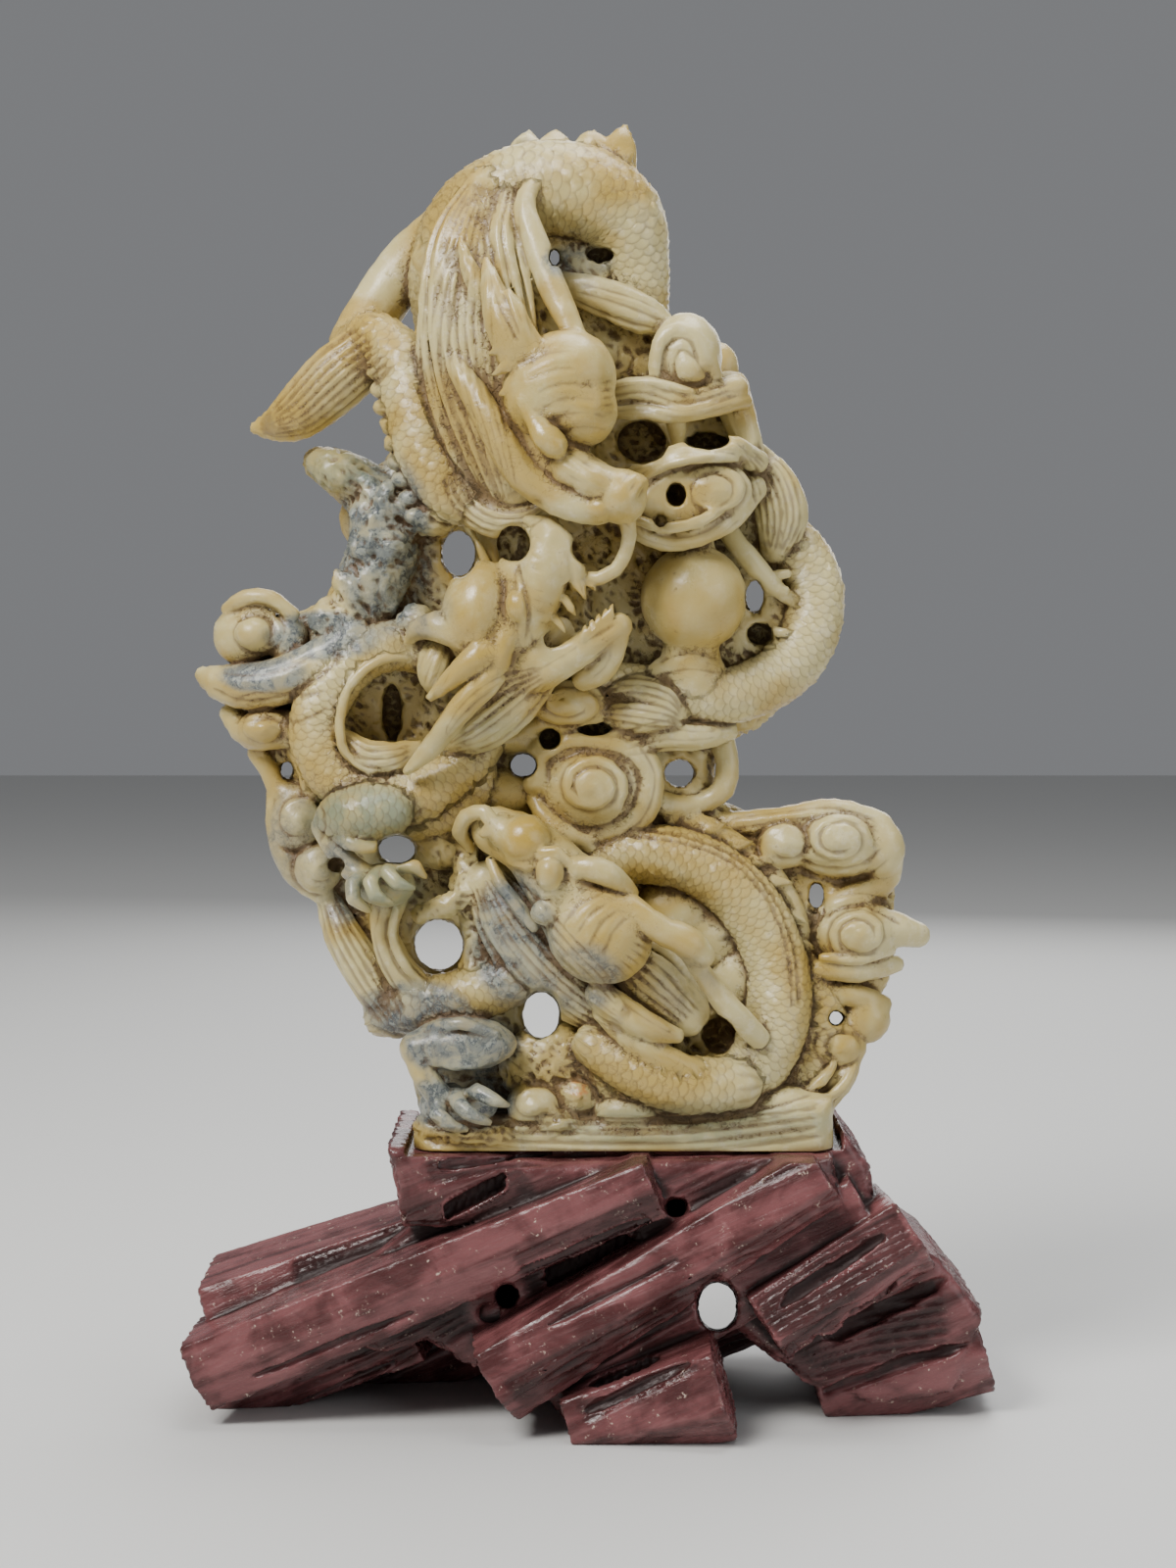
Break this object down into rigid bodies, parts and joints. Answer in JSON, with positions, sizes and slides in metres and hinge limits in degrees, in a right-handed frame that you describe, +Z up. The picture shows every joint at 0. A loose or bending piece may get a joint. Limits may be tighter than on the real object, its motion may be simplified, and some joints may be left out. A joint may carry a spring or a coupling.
{
  "type": "soapstone dragon sculpture",
  "caption": "Pierced soapstone carving of three dragons with a pearl and clouds, resting on a carved red-brown rock plinth.",
  "frame": {"origin": "centre of the plinth's box on the surface that it stands on", "axes": "+Z up, +X to the right of someone who faces the dragons' heads, -Y towards them"},
  "size_m": [0.206, 0.0948, 0.3255],
  "materials": {
    "carving_stone": "waxed satin",
    "plinth_stone": "polished satin"
  },
  "bodies": {
    "root": {"dragon_carving": "carving_stone", "rock_plinth": "plinth_stone"}
  },
  "joints": []
}
